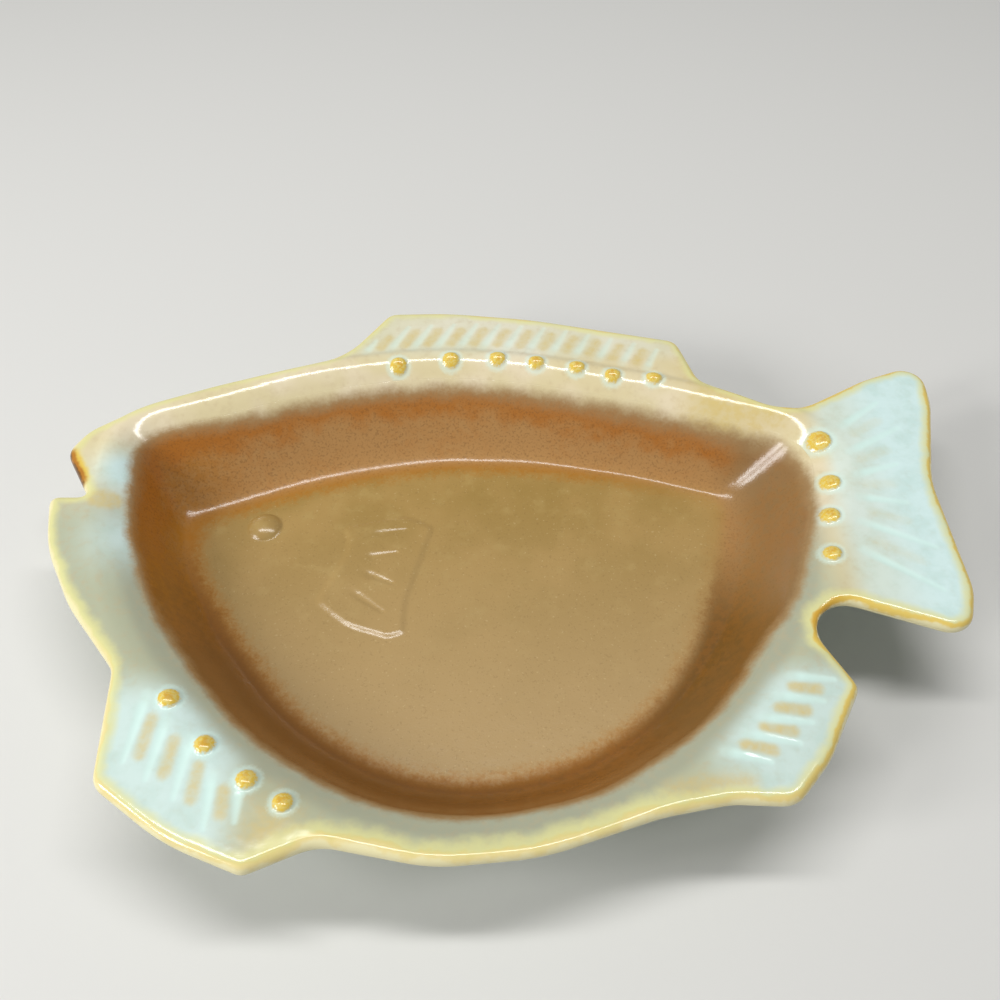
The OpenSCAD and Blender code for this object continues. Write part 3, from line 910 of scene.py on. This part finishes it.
def makeGlaze():
    material, tree = emptyMaterial("reactiveStonewareGlaze")
    here = addNode(tree, "TexCoord").outputs["Object"]

    def noise(size, detail=3.0):
        inputs = {"Vector": here, "Scale": 1 / (glaze[size] * mm), "Detail": detail,
                  "Roughness": glaze["noiseRoughness"]}
        return addNode(tree, "TexNoise", None, inputs).outputs["Fac"]

    def reading(name):
        return addNode(tree, "Attribute", {"attribute_name": name}).outputs["Fac"]

    def combine(operation, *parts):
        total = parts[0]
        for part in parts[1:]:
            total = addNode(tree, "Math", {"operation": operation}, {0: total, 1: part}).outputs[0]
        return total

    def mask(value, start, end, low=0, high=1):
        inputs = {"Value": value, "From Min": start, "From Max": end, "To Min": low, "To Max": high}
        return addNode(tree, "MapRange", {"interpolation_type": "SMOOTHSTEP"}, inputs).outputs["Result"]

    def layer(below, above, *shares):
        below = linear(glaze[below]) if isinstance(below, str) else below
        above = linear(glaze[above]) if isinstance(above, str) else above
        share = combine("MULTIPLY", *shares)
        return addNode(tree, "Mix", {"data_type": "RGBA"}, {0: share, 6: below, 7: above}).outputs[2]

    def layers(below, *rows):
        for above, *shares in rows:
            below = layer(below, above, *shares)
        return below

    wellMm, edgeMm, creaseMm = reading("wellMm"), reading("edgeMm"), reading("creaseMm")
    pool, bead, lipRust = reading("pool"), reading("beadNear"), reading("lipRust")
    backShare, aquaShare, sageShare = reading("backShare"), reading("aquaShare"), reading("sageShare")
    honeyShare, goldShare, paintedReflectionShare = reading("honeyShare"), reading("goldShare"), reading("paintedReflectionShare")
    bandShare, frontShare, leftShare = reading("bandShare"), reading("frontShare"), reading("leftShare")
    broad, blotch, cluster = noise("broadMm", 2.0), noise("blotchMm"), noise("clusterMm", 2.0)
    grain, speck, paleSpeck = noise("grainMm", 2.0), noise("speckMm", 1.0), noise("paleSpeckMm", 1.0)

    # The well's floor, browner towards its crease, and lighter at the front with a painted reflection
    floor = layer("floorTan", "floorOlive", mask(broad, 0.35, 0.65))
    floor = layers(
        floor,
        ("floorGrey", mask(blotch, 0.5, 0.75, 0, 0.6)),
        ("floorPaintedReflection", frontShare),
        ("speckPale", mask(paleSpeck, 0.66, 0.76, 0, 0.35)))
    ragged = combine("ADD", mask(cluster, 0.2, 0.8, -1.6, 1.6), mask(grain, 0.2, 0.8, -1.3, 1.3))
    inward = combine("ADD", combine("ADD", creaseMm, ragged), mask(frontShare, 0.5, 1, -1.5, -3.5))
    floor = layer(floor, "bandGold", mask(inward, -10, -1, 0, 0.85), bandShare)
    floor = layer(floor, "wallBrown", mask(inward, -7, 4), mask(backShare, 0.2, 0.9, 0.9, 0))

    # Its wall: tan at the back and dark in front, partly painted light and shade; a painted reflection
    # towards the tail; rust under the edge
    wall = layer("wallBrown", "wallOlive", mask(bandShare, 1, 0.2, 0, 0.8))
    wall = layer(layer(wall, "wallTan", backShare), "wallPaintedReflection", paintedReflectionShare)
    wall = layer(wall, "bandGold", leftShare, mask(cluster, 0.3, 0.7, 0.35, 0.75))
    wall = layer(wall, "rust", mask(broad, 0.4, 0.65, 0, 0.18), mask(cluster, 0.35, 0.6))
    upward = combine("ADD", wellMm, mask(blotch, 0.2, 0.8, -2.5, 2.5))
    edgeRust = combine("MULTIPLY", mask(backShare, 0, 1, 0.14, 0.9), mask(paintedReflectionShare, 0, 1, 1, 0.1))
    wall = layer(wall, "rust", mask(upward, -13, -6), edgeRust)
    specks = combine("MULTIPLY", mask(speck, 0.48, 0.66, 0, 0.2), mask(backShare, 0, 1, 0.4, 1))
    wall = layer(wall, "speckDark", specks, mask(paintedReflectionShare, 0, 1, 1, 0.2))
    brown = layer(floor, wall, mask(creaseMm, -3, 4))
    brown = layer(brown, "speckDark", mask(speck, 0.6, 0.74, 0, 0.16))
    brown = layer(brown, "bandGold", reading("cornerGold"), mask(cluster, 0.3, 0.7, 0.6, 1))

    # The rim, from its broad fields to the edge; the sage deepens near the well with painted shade of the
    # shoulder's slope
    sage = layer("sage", "sagePaintedShade", mask(wellMm, 9, 4))
    pale = layer(layer("cream", "palePink", mask(broad, 0.4, 0.65)), sage, sageShare)
    pale = layer(pale, layer("aqua", "aquaDeep", mask(blotch, 0.35, 0.7, 0, 0.7)), aquaShare)
    toast = combine("MULTIPLY", mask(cluster, 0.4, 0.75, 0, 0.3), mask(aquaShare, 0, 1, 1, 0.25))
    pale = layers(
        pale,
        ("toast", toast, mask(blotch, 0.35, 0.6)),
        ("paleHoney", honeyShare, mask(cluster, 0.2, 0.7, 0.75, 1)),
        ("honey", honeyShare, mask(cluster, 0.3, 0.75, 0.05, 0.3)),
        ("mint", pool, glaze["poolStrength"]))
    lipGap = combine("MULTIPLY", edgeMm, reading("lipNarrowing"))
    lipGap = combine("ADD", lipGap, mask(blotch, 0.2, 0.8, -1, 1))
    pale = layer(pale, "lemon", mask(lipGap, 6, 2.2, 0, 0.8))
    pale = layer(pale, "lipCream", mask(lipGap, 2.2, 0.6, 0, 0.9))
    line = combine("MULTIPLY", mask(lipGap, 2.6, 1.5), mask(lipGap, 0, 0.9))
    pale = layers(
        pale,
        ("honey", line, goldShare),
        ("amber", line, mask(goldShare, 0.82, 1, 0, 0.6)),
        ("honey", lipRust, mask(lipGap, 5, 3)),
        ("rust", lipRust, mask(lipGap, 3.2, 1.6)),
        ("speckDark", lipRust, mask(lipGap, 1.4, 0.4)))

    # Beads: amber where the glaze runs off their tops, yellow below, and a pale pool round each
    beadRow = combine("ADD", bead, mask(grain, 0.2, 0.8, -0.12, 0.12))
    pale = layers(
        pale,
        ("mint", mask(beadRow, 1.8, 1.2, 0, 0.4)),
        ("honey", mask(beadRow, 1.1, 0.8)),
        ("lemon", mask(beadRow, 1, 0.7), mask(grain, 0.4, 0.6, 0, 0.45)),
        ("amber", mask(beadRow, 0.7, 0.25), mask(cluster, 0.4, 0.6, 0.05, 0.55)))

    # The soft border between the two
    drift = combine("ADD", mask(grain, 0.2, 0.8, -0.3, 0.3), mask(blotch, 0.2, 0.8, -0.9, 0.9))
    border = combine("ADD", combine("ADD", wellMm, drift), reading("borderShift"))
    border = combine("MULTIPLY", border, mask(backShare, 0.2, 1, 1.25, 1))
    colour = layer(brown, "borderTan", mask(border, -5, 0.4, 0, 0.9))
    colour = layer(colour, pale, mask(border, -1.6, 2.8))

    pimples = combine("MULTIPLY", noise("pimpleMm", 1.0), mask(border, 0, -4, 0.02, 0.3))
    relief = combine("ADD", noise("peelMm", 1.0), pimples)
    roughness = mask(border, -2, 2, 0.2, 0.13)
    finishSurface(tree, glaze, {"Base Color": colour, "Roughness": roughness, "IOR": glaze["ior"]}, relief)
    return material


# Stoneware clay with grog, wiped clean and fired bare, which leaves it sandy and matt
bareClay = {
    "stops": [(0.35, "#8E6F52"), (0.65, "#C3A27D")],
    "gritMm": 0.6,
    "detail": 3.0,
    "bumpMm": 0.1,
    "bumpStrength": 0.5,
    "roughness": 0.8,
}


def makeClayMaterial():
    material, tree = emptyMaterial("bareStoneware")
    here = addNode(tree, "TexCoord").outputs["Object"]
    scale = 1 / (bareClay["gritMm"] * mm)
    grit = addNode(tree, "TexNoise", None, {"Vector": here, "Scale": scale, "Detail": bareClay["detail"]})
    grit = grit.outputs["Fac"]
    colour = addNode(tree, "ValToRGB", None, {"Fac": grit}, bareClay["stops"]).outputs[0]
    finishSurface(tree, bareClay, {"Base Color": colour, "Roughness": bareClay["roughness"]}, grit)
    return material


# How strong each colour gets where it lies, and how far the border moves
zones = {
    "tailAqua": (0.65, 0.35),  # on the whole tail, and more towards its end
    "pelvicAqua": 0.8,
    "analAqua": 0.72,
    "dorsalAqua": 0.25,
    "jawAqua": (1.2, 0.8),  # upper and lower
    "patchHoney": 0.75,  # between the rays
    "mouthHoney": 0.6,
    "waistHoney": 0.8,
    "bellyHoney": 0.6,  # below the beads, and in a streak beside the anal fin
    "notchGold": 0.4,
    "bellyNarrowing": 0.4,  # of the lip's yellow
    "notchNarrowing": 0.35,
    "lipRust": 0.9,
    "sheenShift": -1.6,  # millimetres
    "backShift": 3.0,
}


# A soft round spot, its size in square millimetres
def spot(points, x, y, size):
    return np.exp(-np.abs(points - place(x, y)) ** 2 / size)


# Where each colour lies: smooth fades over millimetres along x or y, or from a place
def zoneMarks(piece):
    points = positions(piece)[0]
    x, y = points.real, points.imag
    store(piece, "backShare", smooth(y + 0.1 * x + 16 * smooth(x, -100, -135), -22, 42))
    store(piece, "leftShare", smooth(x, -100, -132) * smooth(y, -65, -15))
    # frontShare lightens the floor's front with a painted reflection, and shifts its gold band
    store(piece, "frontShare", smooth(y, 75, -95))
    store(piece, "bandShare", 1 - 0.8 * smooth(x, 25, 75))

    near, far = zones["tailAqua"]
    upper, lower = zones["jawAqua"]
    tail = near * smooth(x, 114, 126) + far * smooth(x, 126, 148)
    pelvic = smooth(x, -74, -92) * smooth(y, -52, -72)
    anal = smooth(x, 52, 74) * smooth(y, -48, -64)
    dorsal = zones["dorsalAqua"] * smooth(y, 88, 98)
    aqua = np.maximum.reduce([tail, zones["pelvicAqua"] * pelvic, zones["analAqua"] * anal, dorsal])
    aqua = aqua * smooth(stored(piece, "wellMm"), 1, 9)
    jaw = upper * spot(points, -0.425, 0.09, 110) + lower * spot(points, -0.402, 0.0, 200)
    store(piece, "aquaShare", np.clip(np.maximum(aqua, jaw), 0, 1))
    store(piece, "sageShare", smooth(y, 38, 0) * (1 - 0.8 * smooth(x, 105, 118)))

    patches = smooth(rayMarks(points, patchLines(fins))[2], 3.2, 0.6)
    patches *= zones["patchHoney"] - 0.6 * smooth(x, 118, 132)
    patches *= (1 - 0.2 * pelvic) * (1 - dorsal)
    fromMouth = np.abs(points - place(-0.452, 0.047)) + np.abs(points - place(-0.425, 0.045))
    mouth = zones["mouthHoney"] * smooth(fromMouth, 15, 10)
    waist = zones["waistHoney"] * smooth(x, 62, 84) * smooth(x, 120, 104) * smooth(y, 45, 62)
    belowBeads = zones["bellyHoney"] * spot(points, -0.205, -0.328, 80)
    streak = rayMarks(points, placedLines([(0.140, -0.292, 0.205, -0.284)]))[2]
    streak = zones["bellyHoney"] * smooth(streak, 8, 0) * smooth(x, 32, 58)
    store(piece, "honeyShare", np.maximum.reduce([patches, mouth, waist, belowBeads, streak]))
    store(piece, "cornerGold", spot(points, -0.37, 0.06, 45))

    notch = spot(points, 0.266, -0.075, 400)
    gold = 0.35 + 0.45 * smooth(x, 60, 110) - 0.3 * smooth(x, -120, -145) + zones["notchGold"] * notch
    store(piece, "goldShare", np.clip(gold, 0, 1))
    belly = smooth(y, -80, -95) * smooth(np.abs(x - place(-0.03, 0).real), 75, 50)
    store(piece, "lipNarrowing", 1 - zones["bellyNarrowing"] * belly - zones["notchNarrowing"] * notch)
    fromLips = np.abs(points - place(-0.492, 0.108)) + np.abs(points - place(-0.472, 0.07))
    store(piece, "lipRust", zones["lipRust"] * smooth(fromLips, 23, 16))

    # A painted reflection on the well's wall towards the tail; the border also moves there, and the rust and
    # specks thin out
    paintedReflection = smooth(x, 78, 100) * smooth(y, -55, -20)
    store(piece, "paintedReflectionShare", paintedReflection)
    front = 0.8 + 1.8 * smooth(x, 40, 80) - 1.4 * smooth(x, -110, -135)
    sides = front + (zones["sheenShift"] - front) * paintedReflection
    store(piece, "borderShift", sides + (zones["backShift"] - sides) * smooth(y + 0.15 * x, 25, 60))


# The underside has no zones: the pale glaze outside, and the brown one in the recess
plainMarks = {
    "creaseMm": 40, "pool": 0, "beadNear": beads["far"], "backShare": 0, "aquaShare": 0.6, "sageShare": 0.5,
    "honeyShare": 0, "goldShare": 0, "paintedReflectionShare": 0, "lipNarrowing": 1, "borderShift": 0, "lipRust": 0,
    "frontShare": 0, "bandShare": 0, "leftShare": 0, "cornerGold": 0,
}
recessMarks = {"edgeMm": 40, "wellMm": -40}

rim, wellCoat, outside, recess, clay = makeRim(), makeWell(), makeOutside(), makeRecess(), makeClay()
zoneMarks(rim)
zoneMarks(wellCoat)
for piece, marks in ((outside, plainMarks), (recess, {**plainMarks, **recessMarks})):
    for name, value in marks.items():
        storeEven(piece, name, value)
glazeMaterial, clayMaterial = makeGlaze(), makeClayMaterial()
finishPiece(rim, glazeMaterial, "pale_glaze", "rim_glaze")
finishPiece(wellCoat, glazeMaterial, "brown_glaze", "well_glaze")
finishPiece(outside, glazeMaterial, "pale_glaze", "outside_glaze")
finishPiece(recess, glazeMaterial, "pale_glaze", "recess_glaze")
finishPiece(clay, clayMaterial, "stoneware", "clay_body")
print("pieces finished")

# Places and sizes in metres
studio = {
    "cameraAt": (-0.00368, -0.22768, 0.32814),
    "pitch": 50,
    "view": 52,
    "floorColour": "#D9D8D4",
    "floorRoughness": 0.7,
    "floorSize": 6,
    "skyColour": "#EDEFF0",
    "skyStrength": 0.255,
    "lamps": [  # name, place, aim, width and height, watts
        ("overheadStrip", (0.0, 0.20, 1.32), (0, 0.05, 0.03), (1.5, 0.15), 11.3),
        ("windowLeftPane", (-1.14, -0.35, 0.74), (0, 0, 0.03), (0.25, 0.45), 5.7),
        ("windowRightPane", (-0.97, -0.70, 0.74), (0, 0, 0.03), (0.25, 0.45), 5.7),
    ],
}


# Backdrop paper, uncoated and rolled smooth: an even matt floor that only takes the shadow
def makeStage():
    deselect()
    bpy.ops.mesh.primitive_plane_add(size=studio["floorSize"])
    floor = bpy.context.object
    floor.name = "studioFloor"
    material = bpy.data.materials.new("paleBackdropPaper")
    material.use_nodes = True
    shader = material.node_tree.nodes["Principled BSDF"]
    shader.inputs["Base Color"].default_value = linear(studio["floorColour"])
    shader.inputs["Roughness"].default_value = studio["floorRoughness"]
    floor.data.materials.append(material)


def setUp(name, data, at, turn):
    holder = bpy.data.objects.new(name, data)
    bpy.context.scene.collection.objects.link(holder)
    holder.location = at
    holder.rotation_euler = turn
    return holder


def makeLight():
    world = bpy.data.worlds.new("studio")
    bpy.context.scene.world = world
    world.use_nodes = True
    background = world.node_tree.nodes["Background"]
    background.inputs["Color"].default_value = linear(studio["skyColour"])
    background.inputs["Strength"].default_value = studio["skyStrength"]
    for name, at, aim, size, watts in studio["lamps"]:
        lamp = bpy.data.lights.new(name, "AREA")
        lamp.shape = "RECTANGLE"
        lamp.size, lamp.size_y = size
        lamp.energy = watts
        setUp(name, lamp, at, (Vector(aim) - Vector(at)).to_track_quat("-Z", "Y").to_euler())


def makeCamera():
    lens = bpy.data.cameras.new("camera")
    lens.angle = math.radians(studio["view"])
    turn = (math.radians(90 - studio["pitch"]), 0, 0)
    bpy.context.scene.camera = setUp("camera", lens, studio["cameraAt"], turn)


makeStage()
makeLight()
makeCamera()
bpy.context.scene.view_settings.view_transform = "Standard"
print("stage, light and camera set")
